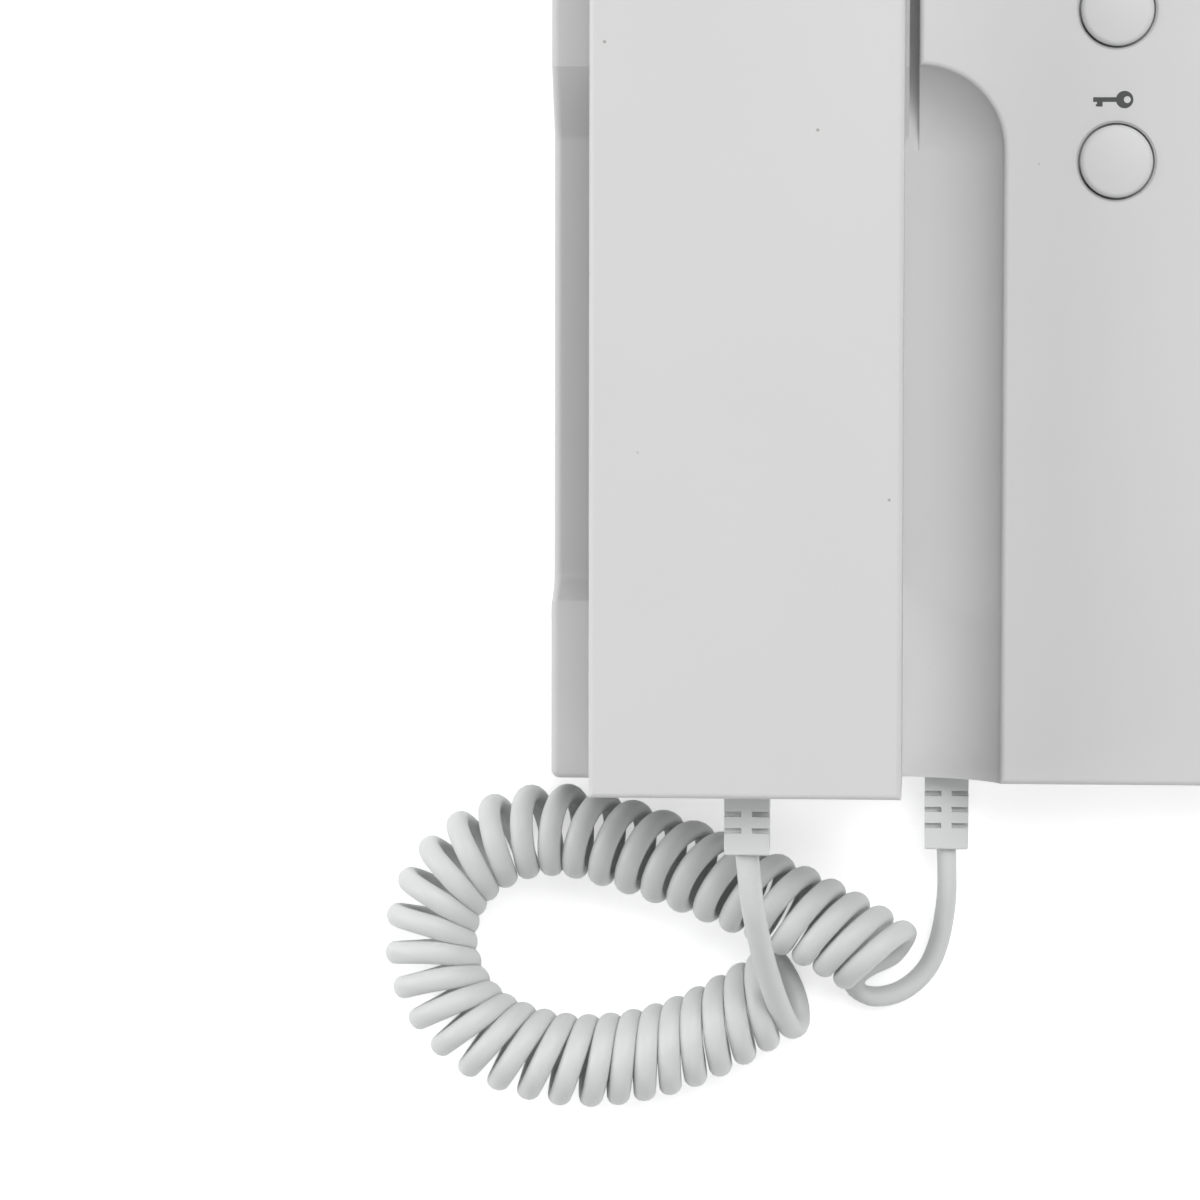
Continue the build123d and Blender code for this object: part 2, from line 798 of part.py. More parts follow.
def handset_shell(keep_front):
    """One half of the handset: a shell with the mouth of the jack cut in its lower end."""
    with BuildPart() as shell:
        add(handset_outside.part)
        add(handset_inside.part, mode=Mode.SUBTRACT)
        with Locations((handset_x, handset_end, handset_plug_z)):
            Box(
                plug_width + 2 * plug_play,
                4 * handset_wall,
                plug_height + 2 * plug_play,
                mode=Mode.SUBTRACT,
            )
        half = Keep.TOP if keep_front else Keep.BOTTOM
        split(bisect_by=Plane.XY.offset(handset_seam_z + (seam_gap if keep_front else 0)), keep=half)
        if keep_front:
            # posts that take the screws
            for x, y, z in handset_screw_places:
                post_foot = z + handset_wall + seam_gap
                with Locations((x, y, post_foot)):
                    Cylinder(
                        handset_boss_d / 2,
                        handset_front_z - handset_wall / 2 - post_foot,
                        align=standing,
                    )
                with Locations(Plane(origin=(x, y, post_foot), z_dir=(0, 0, -1))):
                    Hole(post_bore_d / 2, depth=handset_screw_reach + handset_wall / 2)
        else:
            for x, y, z in handset_screw_places:
                with Locations(Plane(origin=(x, y, z), z_dir=(0, 0, -1))):
                    CounterBoreHole(
                        screw_clear_d / 2,
                        screw_head_d / 2 + fit_gap,
                        handset_wall / 2,
                        depth=1.5 * handset_wall,
                    )
            # rings of sound holes under the earpiece, and one hole under the mouthpiece
            with Locations((handset_x, ear_y, ear_boss_z)):
                Cylinder(sound_hole_d / 2, 3 * handset_wall, mode=Mode.SUBTRACT)
                for radius, holes in zip(sound_ring_radii, sound_ring_holes):
                    with PolarLocations(radius, holes):
                        Cylinder(sound_hole_d / 2, 3 * handset_wall, mode=Mode.SUBTRACT)
            with Locations((handset_x, mouth_y, mouth_boss_z)):
                Cylinder(sound_hole_d / 2, 3 * handset_wall, mode=Mode.SUBTRACT)
            # rib under the jack
            with Locations((handset_x, handset_end + handset_wall, inner_rear_z)):
                Box(
                    jack_width,
                    jack_depth / 2,
                    jack_foot_z - inner_rear_z,
                    align=(Align.CENTER, Align.MIN, Align.MIN),
                )
    return shell.part


save(handset_shell(True), "handset_front_shell")
save(handset_shell(False), "handset_rear_shell")
handset_screw = slotted_screw(
    screw_head_d, handset_wall / 2, board_shank_d, handset_wall / 2 + handset_screw_reach
)
save(
    Compound(
        children=[
            handset_screw.moved(Plane(origin=(x, y, z + handset_wall / 2), z_dir=(0, 0, -1)).location)
            for x, y, z in handset_screw_places
        ]
    ),
    "handset_screws",
)

# Earpiece: a foam gasket on the floor of the boss, and the speaker capsule on it
ear_floor_z = ear_boss_z + handset_wall
speaker_z = ear_floor_z + gasket_height
with BuildPart() as gasket:
    with BuildSketch(Plane.XY.offset(ear_floor_z)):
        with Locations((handset_x, ear_y)):
            Circle(speaker_d / 2)
            Circle(speaker_d / 2 - gasket_width, mode=Mode.SUBTRACT)
    extrude(amount=gasket_height)
save(gasket.part, "earpiece_gasket")

with BuildPart() as speaker:
    with BuildSketch(Plane.XZ):
        with BuildLine():
            Polyline(
                (0, speaker_z + speaker_cone / 2),
                (speaker_d / 2 - gasket_width, speaker_z + speaker_cone / 4),
                (speaker_d / 2 - gasket_width, speaker_z),
                (speaker_d / 2, speaker_z),
                (speaker_d / 2, speaker_z + speaker_rim),
                (speaker_d / 3, speaker_z + speaker_rim + speaker_cone),
                (speaker_d / 3, speaker_z + speaker_height),
                (0, speaker_z + speaker_height),
                close=True,
            )
        make_face()
    revolve(axis=Axis.Z)
save(speaker.part.moved(Location((handset_x, ear_y, 0))), "earpiece_speaker")

# Mouthpiece: an electret capsule in a rubber boot that fills the boss
mouth_floor_z = mouth_boss_z + handset_wall
boot_d = mouth_boss_d - 2 * handset_wall - 2 * fit_gap
with BuildPart() as microphone_boot:
    with Locations((handset_x, mouth_y, mouth_floor_z)):
        Cylinder(boot_d / 2, microphone_height + 2 * microphone_boot_wall, align=standing)
    with Locations((handset_x, mouth_y, mouth_floor_z + microphone_height + 2 * microphone_boot_wall)):
        Hole(microphone_d / 2 + microphone_play, depth=microphone_height + microphone_boot_wall)
    with Locations((handset_x, mouth_y, mouth_floor_z)):
        Hole(sound_hole_d / 2)
save(microphone_boot.part, "microphone_boot")

with BuildPart() as microphone:
    with Locations((handset_x, mouth_y, mouth_floor_z + microphone_boot_wall)):
        Cylinder(microphone_d / 2, microphone_height, align=standing)
    chamfer(microphone.edges().group_by(Axis.Z)[0], microphone_d / 20)
save(microphone.part, "microphone")


# Curly cord: its axis is a chain of arcs, and the cable winds to the left round that axis
def coil_axis(curl):
    """Place and heading of the coil's axis after so many curls."""
    x, y = coil_start
    heading = radians(coil_heading)
    left = curl
    last = len(coil_stretches) - 1
    for number, (length, turn, curls) in enumerate(coil_stretches):
        share = left / curls if number == last else min(left / curls, 1.0)
        angle = radians(turn) * share
        radius = length / radians(turn)
        x += radius * (sin(heading + angle) - sin(heading))
        y -= radius * (cos(heading + angle) - cos(heading))
        heading += angle
        left -= curls
        if left <= 0:
            break
    return x, y, heading


def coil_point(curl):
    x, y, heading = coil_axis(curl)
    sideways = curl_radius * sin(2 * pi * curl)
    return Vector(
        x - sideways * sin(heading),
        y + sideways * cos(heading),
        curl_z + curl_radius * cos(2 * pi * curl),
    )


def coil_tangent(curl):
    step = 1e-4
    before = max(curl - step, 0)
    return (coil_point(curl + step) - coil_point(before)).normalized()


def biarc_joint(start, start_way, end, end_way):
    """The point where two arcs meet that leave start and reach end in the given directions."""
    chord = end - start
    both = start_way + end_way
    a = 4 - both.dot(both)
    b = 2 * chord.dot(both)
    reach = (sqrt(b * b + 4 * a * chord.dot(chord)) - b) / (2 * a)
    return (start + start_way * reach + end - end_way * reach) * 0.5


# the cable is marked at its first point, at every half curl and at its last
half_turns = int(2 * coil_curls)
marks = [coil_first] + [number / 2 for number in range(1, half_turns)] + [int(coil_curls) + coil_last]
coil_points = [coil_point(mark) for mark in marks]
coil_ways = [coil_tangent(mark) for mark in marks]
coil_inlet = coil_points[0] - coil_ways[0] * cable_d
coil_outlet = coil_points[-1] + coil_ways[-1] * cable_d

with BuildPart() as cord_coil:
    with BuildLine() as coil_path:
        Line(coil_inlet, coil_points[0])
        for number in range(len(marks) - 1):
            start, end = coil_points[number], coil_points[number + 1]
            joint = biarc_joint(start, coil_ways[number], end, coil_ways[number + 1])
            first = TangentArc(start, joint, tangent=coil_ways[number])
            TangentArc(joint, end, tangent=first % 1)
        Line(coil_points[-1], coil_outlet)
    with BuildSketch(Plane(origin=coil_inlet, z_dir=coil_ways[0], x_dir=(0, 0, 1))):
        RegularPolygon(cable_d / 2, coil_facets)
    sweep(clean=False)
save(cord_coil.part, "cord_coil")

# least gap between curls, measured on points along the arcs
samples = [
    edge.position_at((step + 0.5) / 4) for edge in coil_path.edges() for step in range(4)
]
apart = 6
least = min(
    (samples[i] - samples[j]).length for i in range(len(samples)) for j in range(i + apart, len(samples))
)
print(f"cord_coil: {marks[-1] - marks[0]:.2f} curls, least gap to itself {least - cable_d:.2f} mm")


def lead(name, points):
    """A free stretch of cable: straight runs joined by arcs as large as the runs allow."""
    points = [Vector(point) for point in points]
    radii = []
    for before, corner, after in zip(points, points[1:], points[2:]):
        shorter = min((corner - before).length, (after - corner).length)
        turn = (corner - before).get_angle(after - corner)
        radii.append(0.45 * shorter / tan(radians(turn / 2)))
    with BuildPart() as tube:
        with BuildLine() as path:
            FilletPolyline(*points, radius=radii)
        with BuildSketch(Plane(origin=points[0], z_dir=points[1] - points[0])):
            RegularPolygon(cable_d / 2, lead_facets)
        area = tube.pending_faces[0].area
        sweep(clean=False)
    length = path.wires()[0].length
    print(f"{name}: length {length:.1f}, radii {[round(radius, 1) for radius in radii]}")
    print(f"{name}: volume {tube.part.volume:.1f} against section times length {area * length:.1f}")
    save(tube.part, name)


handset_boot_end = (handset_x, handset_end - handset_boot_length, handset_plug_z)
body_boot_end = (body_plug_x, -half_height - body_boot_length, body_plug_z)
lead(
    "handset_lead",
    [
        handset_boot_end,
        (-30.6, -114.5, 36.0),
        (-30.4, -120.8, 33.6),
        (-29.9, -126.2, 29.2),
        (-29.0, -131.4, 24.0),
        coil_inlet - coil_ways[0] * 5.0,
        coil_inlet,
    ],
)
lead(
    "body_lead",
    [
        coil_outlet,
        coil_outlet + coil_ways[-1] * 3.2,
        (-9.9, -140.0, 1.8),
        (-6.0, -141.8, 1.85),
        (-1.6, -140.4, 1.8),
        (1.7, -136.0, 1.85),
        (3.0, -130.4, 2.0),
        (3.3, -124.2, 3.8),
        (3.05, -117.6, body_plug_z),
        body_boot_end,
    ],
)
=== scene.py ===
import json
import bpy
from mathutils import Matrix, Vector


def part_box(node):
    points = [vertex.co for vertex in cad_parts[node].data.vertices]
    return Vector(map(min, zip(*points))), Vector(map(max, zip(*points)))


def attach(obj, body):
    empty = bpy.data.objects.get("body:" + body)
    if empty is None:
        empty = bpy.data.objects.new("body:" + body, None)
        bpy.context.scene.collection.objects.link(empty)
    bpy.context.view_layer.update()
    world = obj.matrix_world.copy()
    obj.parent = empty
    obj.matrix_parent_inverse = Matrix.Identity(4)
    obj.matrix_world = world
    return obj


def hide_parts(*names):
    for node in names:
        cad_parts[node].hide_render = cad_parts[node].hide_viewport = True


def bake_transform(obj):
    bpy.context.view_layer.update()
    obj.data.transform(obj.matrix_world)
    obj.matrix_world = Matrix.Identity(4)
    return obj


bl_info = {
    "name": "Intercom Extension Phone",
    "version": (1, 0, 0),
    "blender": (4, 5, 0),
    "location": "View3D > Sidebar > Phone",
    "description": "Curly cord, push buttons, key sign and finishes for the frame of a wall intercom phone",
    "category": "Object",
}

from math import cos, pi, radians, sin

import bpy
from mathutils import Matrix, Vector

# The frame holds the rigid pieces of the phone, lying on its back, in metres: X runs towards the
# buttons, Y towards the earpiece and Z up from the floor.
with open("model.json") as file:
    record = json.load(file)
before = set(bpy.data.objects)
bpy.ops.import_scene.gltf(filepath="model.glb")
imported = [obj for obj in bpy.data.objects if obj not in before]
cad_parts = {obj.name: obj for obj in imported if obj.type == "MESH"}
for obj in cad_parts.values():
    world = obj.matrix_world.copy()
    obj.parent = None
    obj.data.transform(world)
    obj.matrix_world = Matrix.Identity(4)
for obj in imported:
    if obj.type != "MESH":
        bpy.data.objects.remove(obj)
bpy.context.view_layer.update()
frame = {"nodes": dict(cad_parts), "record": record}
MM = 0.001


def hex_colour(text):
    """The linear colour of an sRGB hex value."""
    channels = [int(text[start : start + 2], 16) / 255 for start in (1, 3, 5)]
    return [c / 12.92 if c <= 0.04045 else ((c + 0.055) / 1.055) ** 2.4 for c in channels] + [1.0]


def length(name, description, millimetres):
    return bpy.props.FloatProperty(
        name=name, description=description, default=millimetres * MM, unit="LENGTH", precision=5
    )


def colour(name, description, text):
    return bpy.props.FloatVectorProperty(
        name=name, description=description, default=hex_colour(text), subtype="COLOR", size=4, min=0, max=1
    )


class PhoneSizes(bpy.types.PropertyGroup):
    """Sizes of the pieces that are made here"""

    cable_d: length("Cable", "Mean diameter of the cord's slightly oval cable", 3.6)
    cable_width: length("Cable Width", "Width of the cable along the coil", 4.0)
    cable_thickness: length("Cable Thickness", "Thickness of the cable out from the coil's axis", 3.3)
    curl_radius: length("Curl", "Radius of a curl, to the middle of the cable", 6.5)
    cord_length: length("Cord Length", "Length of the cable from plug to plug", 1560.0)
    cord_points: bpy.props.IntProperty(
        name="Points in a Curl", description="Control points in each curl of the cord", default=16, min=12
    )
    cable_sides: bpy.props.IntProperty(
        name="Cable Sides", description="Sides of the tube that is swept along the cord", default=14, min=8
    )
    crown: length("Crown", "How far a button's face rises to its middle", 0.35)
    cap_round: length("Button Edge", "Radius of the rounded edge of a button", 1.0)
    flange_width: length("Button Flange", "Width of the flange that holds a button in its hole", 2.1)
    ink: length("Ink", "Thickness of the printed key sign", 0.03)


class PhoneColours(bpy.types.PropertyGroup):
    """Colours of the finishes"""

    housing: colour("Housing", "Light grey of the moulded housing and handset", "#D7D7D7")
    housing_shade: colour("Housing Shade", "Slightly darker flow marks in the moulding", "#D2D2D2")
    dust: colour("Dust", "Specks of dust on the housing", "#9C9995")
    button: colour("Button", "Push buttons", "#D6D6D7")
    cable: colour("Cable", "Jacket of the curly cord", "#D8DAD9")
    plug: colour("Plug", "Modular plugs and their boots", "#DCDEDD")
    ink: colour("Ink", "Printed key sign", "#4A4C4C")
    steel: colour("Steel", "Screws, pin and microphone can", "#A9A9AB")
    board: colour("Board", "Solder mask of the circuit board", "#1F6B3C")
    black: colour("Black", "Switches, terminals, sounder and jacks", "#232325")
    rubber: colour("Rubber", "Boot round the microphone", "#1C1C1C")
    foam: colour("Foam", "Ring behind the earpiece", "#47474A")
    floor: colour("Floor", "Table under the phone", "#F4F4F4")


# Making materials


def add_node(tree, kind, inputs=None, **settings):
    """Adds a node, sets it up, and gives each named input a value or a link."""
    node = tree.nodes.new(kind)
    for name, value in settings.items():
        setattr(node, name, value)
    for name, value in (inputs or {}).items():
        if isinstance(value, bpy.types.NodeSocket):
            tree.links.new(value, node.inputs[name])
        else:
            node.inputs[name].default_value = value
    return node


def new_material(name):
    """An empty material, with its node tree and its object coordinates."""
    material = bpy.data.materials.new(name)
    material.use_nodes = True
    material.node_tree.nodes.clear()
    place = add_node(material.node_tree, "ShaderNodeTexCoord")
    return material, material.node_tree, place.outputs["Object"]


def finish_material(material, shader):
    add_node(material.node_tree, "ShaderNodeOutputMaterial", {"Surface": shader.outputs[0]})
    return material


def grain_bump(tree, place, grain, height, strength=1.0):
    """Bumps of one grain size, both in metres."""
    noise = add_node(tree, "ShaderNodeTexNoise", {"Vector": place, "Scale": 1 / grain, "Detail": 3.0})
    return add_node(
        tree,
        "ShaderNodeBump",
        {"Height": noise.outputs["Fac"], "Distance": height, "Strength": strength},
    ).outputs["Normal"]


# sizes on moulded ABS: its grit, which is really about 0.15 mm and is drawn coarser so that it shows,
# its cloudy flow marks, and the spacing of the specks of dust
ABS_GRIT = 0.3 * MM
ABS_GRIT_HEIGHT = 0.004 * MM
ABS_FLOW = 50 * MM
SPECK_SPACING = 6 * MM
# how far a speck's full colour and its faded edge reach, in spacings, and the share of places left bare
SPECK_MIDDLE, SPECK_EDGE = 0.02, 0.06
SPECK_BARE = 0.85
PLASTIC_IOR = 1.53


def moulded_abs(name, base, shade, dust, roughness):
    """ABS, injection moulded in a spark-eroded tool: matt and even, with rare specks of dust on it."""
    material, tree, place = new_material(name)
    flow = add_node(tree, "ShaderNodeTexNoise", {"Vector": place, "Scale": 1 / ABS_FLOW, "Detail": 2.0})
    body = add_node(
        tree,
        "ShaderNodeMix",
        {"Factor": flow.outputs["Fac"], "A": shade, "B": base},
        data_type="RGBA",
    )
    speck = add_node(tree, "ShaderNodeTexVoronoi", {"Vector": place, "Scale": 1 / SPECK_SPACING})
    near = add_node(
        tree,
        "ShaderNodeMapRange",
        {
            "Value": speck.outputs["Distance"],
            "From Min": SPECK_MIDDLE,
            "From Max": SPECK_EDGE,
            "To Min": 1.0,
            "To Max": 0.0,
        },
    )
    split = add_node(tree, "ShaderNodeSeparateColor", {"Color": speck.outputs["Color"]})
    rare = add_node(
        tree,
        "ShaderNodeMath",
        {0: split.outputs["Red"], 1: SPECK_BARE},
        operation="GREATER_THAN",
    )
    dusty = add_node(
        tree,
        "ShaderNodeMath",
        {0: near.outputs["Result"], 1: rare.outputs[0]},
        operation="MULTIPLY",
    )
    tone = add_node(
        tree,
        "ShaderNodeMix",
        {"Factor": dusty.outputs[0], "A": body.outputs["Result"], "B": dust},
        data_type="RGBA",
    )
    shader = add_node(
        tree,
        "ShaderNodeBsdfPrincipled",
        {
            "Base Color": tone.outputs["Result"],
            "Roughness": roughness,
            "IOR": PLASTIC_IOR,
            "Normal": grain_bump(tree, place, ABS_GRIT, ABS_GRIT_HEIGHT),
        },
    )
    return finish_material(material, shader)


# the cord's jacket: patches of haze on it, from smoother to duller, the grain of its skin, and how much
# of the light goes into it and how deep
PVC_HAZE = 4 * MM
PVC_SMOOTHEST, PVC_DULLEST = 0.42, 0.54
PVC_GRAIN = 0.6 * MM
PVC_GRAIN_HEIGHT = 0.004 * MM
PVC_LIGHT_SHARE = 0.6
PVC_LIGHT_DEPTH = 2.0 * MM


def extruded_pvc(name, base):
    """PVC jacket, extruded: a smooth satin skin with a little light going through it."""
    material, tree, place = new_material(name)
    haze = add_node(tree, "ShaderNodeTexNoise", {"Vector": place, "Scale": 1 / PVC_HAZE, "Detail": 2.0})
    rough = add_node(
        tree,
        "ShaderNodeMapRange",
        {"Value": haze.outputs["Fac"], "To Min": PVC_SMOOTHEST, "To Max": PVC_DULLEST},
    )
    shader = add_node(
        tree,
        "ShaderNodeBsdfPrincipled",
        {
            "Base Color": base,
            "Roughness": rough.outputs["Result"],
            "IOR": PLASTIC_IOR,
            "Subsurface Weight": PVC_LIGHT_SHARE,
            "Subsurface Radius": [PVC_LIGHT_DEPTH] * 3,
            "Subsurface Scale": 1.0,
            "Normal": grain_bump(tree, place, PVC_GRAIN, PVC_GRAIN_HEIGHT),
        },
    )
    return finish_material(material, shader)


def plain_finish(name, base, roughness, grain, height, metallic=0.0):
    """A finish of one colour whose grain breaks up its gloss."""
    material, tree, place = new_material(name)
    shader = add_node(
        tree,
        "ShaderNodeBsdfPrincipled",
        {
            "Base Color": base,
            "Roughness": roughness,
            "Metallic": metallic,
            "Normal": grain_bump(tree, place, grain, height),
        },
    )
    return finish_material(material, shader)


WHITE = [1.0, 1.0, 1.0, 1.0]
# the table as the camera sees it: the colour that takes shadows, the strength of the part that doesn't,
# and the distances in metres over which it goes over into plain white
TABLE_SHADED = [0.95, 0.95, 0.95, 1.0]
TABLE_STEADY = 0.5
TABLE_NEAR, TABLE_FAR = 0.35, 0.8


def table_white(name, base):
    """White painted board, matt: it shows as white, with the phone's soft shadow left in it."""
    material, tree, place = new_material(name)
    matt = add_node(tree, "ShaderNodeBsdfDiffuse", {"Color": base})
    # the camera and reflections see a part that takes shadows and a part that is always there
    shaded = add_node(tree, "ShaderNodeBsdfDiffuse", {"Color": TABLE_SHADED})
    steady = add_node(tree, "ShaderNodeEmission", {"Color": WHITE, "Strength": TABLE_STEADY})
    near = add_node(tree, "ShaderNodeAddShader", {0: shaded.outputs[0], 1: steady.outputs[0]})
    # far from the phone, where the lamps fall off, the table goes over into the white surroundings
    distance = add_node(tree, "ShaderNodeVectorMath", {0: place}, operation="LENGTH").outputs["Value"]
    far = add_node(
        tree,
        "ShaderNodeMapRange",
        {"Value": distance, "From Min": TABLE_NEAR, "From Max": TABLE_FAR},
    )
    white = add_node(tree, "ShaderNodeEmission", {"Color": WHITE, "Strength": 1.0})
    seen = add_node(
        tree,
        "ShaderNodeMixShader",
        {"Fac": far.outputs["Result"], 1: near.outputs[0], 2: white.outputs[0]},
    )
    both = add_node(
        tree,
        "ShaderNodeMixShader",
        {"Fac": seen_directly(tree), 1: matt.outputs[0], 2: seen.outputs[0]},
    )
    return finish_material(material, both)


def seen_directly(tree):
    """1 for what the camera sees, also in a reflection or through something clear."""
    path = add_node(tree, "ShaderNodeLightPath")
    either = add_node(
        tree,
        "ShaderNodeMath",
        {0: path.outputs["Is Camera Ray"], 1: path.outputs["Is Glossy Ray"]},
        operation="MAXIMUM",
    )
    return add_node(
        tree,
        "ShaderNodeMath",
        {0: either.outputs[0], 1: path.outputs["Is Transmission Ray"]},
        operation="MAXIMUM",
    ).outputs[0]


# Making meshes


def deselect_all():
    if bpy.context.object and bpy.context.object.mode != "OBJECT":
        bpy.ops.object.mode_set(mode="OBJECT")
    bpy.ops.object.select_all(action="DESELECT")


def select_only(piece):
    deselect_all()
    piece.select_set(True)
    bpy.context.view_layer.objects.active = piece


def apply_place(piece):
    select_only(piece)
    bpy.ops.object.transform_apply(location=True, rotation=True, scale=True)


def apply_modifier(piece, kind, **settings):
    select_only(piece)
    modifier = piece.modifiers.new(kind.title(), kind)
    for name, value in settings.items():
        setattr(modifier, name, value)
    bpy.ops.object.modifier_apply(modifier=modifier.name)


def smooth(piece, degrees=35):
    select_only(piece)
    bpy.ops.object.shade_smooth_by_angle(angle=radians(degrees))


def finish_piece(piece, name, material, body):
    """Names a piece, gives it its finish and sets it on the body that carries it."""
    apply_place(piece)
    piece.name = piece.data.name = name
    piece.data.materials.clear()
    piece.data.materials.append(material)
    if body:
        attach(piece, body)
    return piece


# The curly cord

# Its route, in millimetres and degrees. The coil lies on the table in stretches. Each has its length,
# how far it turns to the left, its curls, and, at its end, how far forward the top of a curl leans and
# its left side lies. A lead runs from each end of the coil to a plug.
COIL_START = (-24.9, -136.6)
COIL_HEADING = 217.0
START_LEAN, START_SIDE = 0.8, 2.1
COIL_STRETCHES = [
    (18.0, -13.0, 4.0, 0.6, 1.7),
    (17.3, -19.5, 4.0, 0.0, 1.0),
    (18.7, -29.5, 4.0, 0.9, 1.0),
    (18.9, -53.5, 4.0, 2.0, 0.6),
    (20.1, -63.5, 4.0, 0.8, 0.4),
    (21.8, -53.0, 4.0, -1.5, -0.5),
    (21.1, -5.5, 4.0, -2.6, 0.5),
    (19.6, -5.0, 4.0, -1.2, 0.7),
    (20.2, -10.0, 4.5, -0.8, 1.2),
]
# where the helix begins and ends, in curls along those stretches
FIRST_CURL = 0.7
LAST_CURL = 35.45
HANDSET_LEAD = [
    (-30.6, -109.8, 36.0),
    (-30.1, -116.4, 35.5),
    (-29.2, -122.5, 32.0),
    (-28.2, -128.8, 26.5),
    (-26.8, -135.1, 20.0),
    (-25.4, -140.2, 14.5),
    (-23.6, -144.6, 8.5),
    (-22.4, -144.1, 4.0),
    (-22.8, -140.3, 2.2),
    (-24.7, -135.6, 2.0),
    (-27.2, -132.0, 2.4),
]
BODY_LEAD = [
    (-6.7, -132.0, 1.8),
    (-10.3, -133.5, 1.8),
    (-13.0, -135.5, 1.95),
    (-12.8, -138.1, 2.1),
    (-9.6, -139.5, 2.1),
    (-4.5, -138.4, 2.15),
    (0.0, -134.4, 2.1),
    (2.1, -129.0, 3.0),
    (3.1, -122.5, 5.2),
    (3.3, -117.8, 7.1),
    (3.05, -112.1, 7.1),
]
# the cable's wide side lies along the coil, level at the handset and nearly upright at the body
HANDSET_WIDE = (-1.0, 0.0, 0.0)
BODY_WIDE = (0.4, 0.0, 1.0)
# points that the spline puts on the route for each of its control points
ROUTE_RESOLUTION = 4


def coil_axis(curl):
    """Place and heading of the coil's axis after so many curls, with a curl's lean and side there."""
    x, y = COIL_START
    heading = radians(COIL_HEADING)
    lean, side = START_LEAN, START_SIDE
    left = curl
    for number, (run, turn, curls, next_lean, next_side) in enumerate(COIL_STRETCHES):
        share = left / curls if number == len(COIL_STRETCHES) - 1 else min(left / curls, 1.0)
        angle = radians(turn) * share
        radius = run / radians(turn)
        x += radius * (sin(heading + angle) - sin(heading))
        y -= radius * (cos(heading + angle) - cos(heading))
        heading += angle
        lean += (next_lean - lean) * share
        side += (next_side - side) * share
        left -= curls
        if left <= 0:
            break
    return x, y, heading, lean, side


def coil_point(curl, radius, height, outside):
    """A point of the helix, with its distance from the axis taken so many times."""
    x, y, heading, lean, side = coil_axis(curl)
    up, out = cos(2 * pi * curl) * outside, sin(2 * pi * curl) * outside
    forward = lean * up + side * out
    return Vector(
        (
            x - radius * out * sin(heading) + forward * cos(heading),
            y + radius * out * cos(heading) + forward * sin(heading),
            height + radius * up,
        )
    )


def cord_route(sizes):
    """Control points of the whole cord, from the handset's plug to the body's, in metres.

    Each comes with the direction of the cable's wide side.
    """
    per_curl = sizes.cord_points
    radius = sizes.curl_radius / MM
    height = radius + sizes.cable_thickness / MM / 2
    # a control point stands a little outside the curve that it shapes
    outside = 1 / cos(pi / per_curl)
    turns = LAST_CURL - FIRST_CURL
    steps = round(turns * per_curl)
    curls = [FIRST_CURL + turns * step / steps for step in range(steps + 1)]
    coil = [coil_point(curl, radius, height, outside) for curl in curls]
    headings = [coil_axis(curl)[2] for curl in curls]
    along = [Vector((cos(heading), sin(heading), 0)) for heading in headings]
    wide = blend_ways(Vector(HANDSET_WIDE), along[0], len(HANDSET_LEAD)) + along
    wide += blend_ways(along[-1], Vector(BODY_WIDE), len(BODY_LEAD))
    points = [Vector(p) for p in HANDSET_LEAD] + coil + [Vector(p) for p in BODY_LEAD]
    return [point * MM for point in points], wide


def blend_ways(first, last, count):
    """Directions that turn evenly from the first to the last."""
    return [first.lerp(last, step / (count - 1)).normalized() for step in range(count)]


def smooth_route(points, resolution):
    """Points along the smooth spline that the control points shape."""
    curve = bpy.data.curves.new("cord_route", "CURVE")
    curve.dimensions = "3D"
    spline = curve.splines.new("NURBS")
    spline.points.add(len(points) - 1)
    for knot, point in zip(spline.points, points):
        knot.co = (*point, 1.0)
    spline.order_u = 3
    spline.use_endpoint_u = True
    spline.resolution_u = resolution
    holder = bpy.data.objects.new("cord_route", curve)
    line = bpy.data.meshes.new_from_object(holder)
    path = [vertex.co.copy() for vertex in line.vertices]
    bpy.data.objects.remove(holder)
    bpy.data.meshes.remove(line)
    return path


def sweep_tube(name, path, wide, width, thickness, sides):
    """A closed oval tube along the path, with its wide side turned as the list of directions says."""
    points = []
    for number, centre in enumerate(path):
        way = (path[min(number + 1, len(path) - 1)] - path[max(number - 1, 0)]).normalized()
        place = number / (len(path) - 1) * (len(wide) - 1)
        before = min(int(place), len(wide) - 2)
        across = wide[before].lerp(wide[before + 1], place - before)
        across = (across - way * across.dot(way)).normalized()
        up = way.cross(across)
        for side in range(sides):
            angle = 2 * pi * side / sides
            points.append(centre + across * cos(angle) * width / 2 + up * sin(angle) * thickness / 2)
    faces = [
        [row + side, row + (side + 1) % sides, row + (side + 1) % sides + sides, row + side + sides]
        for row in range(0, (len(path) - 1) * sides, sides)
        for side in range(sides)
    ]
    last = (len(path) - 1) * sides
    faces += [list(range(sides))[::-1], [last + side for side in range(sides)]]
    mesh = bpy.data.meshes.new(name)
    mesh.from_pydata(points, [], faces)
    tube = bpy.data.objects.new(name, mesh)
    bpy.context.collection.objects.link(tube)
    return tube


class PHONE_OT_curly_cord(bpy.types.Operator):
    """Sweep the cable along its leads and curls"""

    bl_idname = "phone.curly_cord"
    bl_label = "Curly Cord"

    def execute(self, context):
        sizes, colours = context.scene.phone_sizes, context.scene.phone_colours
        points, wide = cord_route(sizes)
        path = smooth_route(points, ROUTE_RESOLUTION)
        width, thickness = sizes.cable_width, sizes.cable_thickness
        cord = sweep_tube("curly_cord", path, wide, width, thickness, sizes.cable_sides)
        smooth(cord, degrees=60)
        finish_piece(cord, "curly_cord", extruded_pvc("extruded_pvc", colours.cable), None)
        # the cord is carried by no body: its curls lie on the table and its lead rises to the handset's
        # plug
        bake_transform(cord)
        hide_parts("handset_lead", "cord_coil", "body_lead")
        return {"FINISHED"}


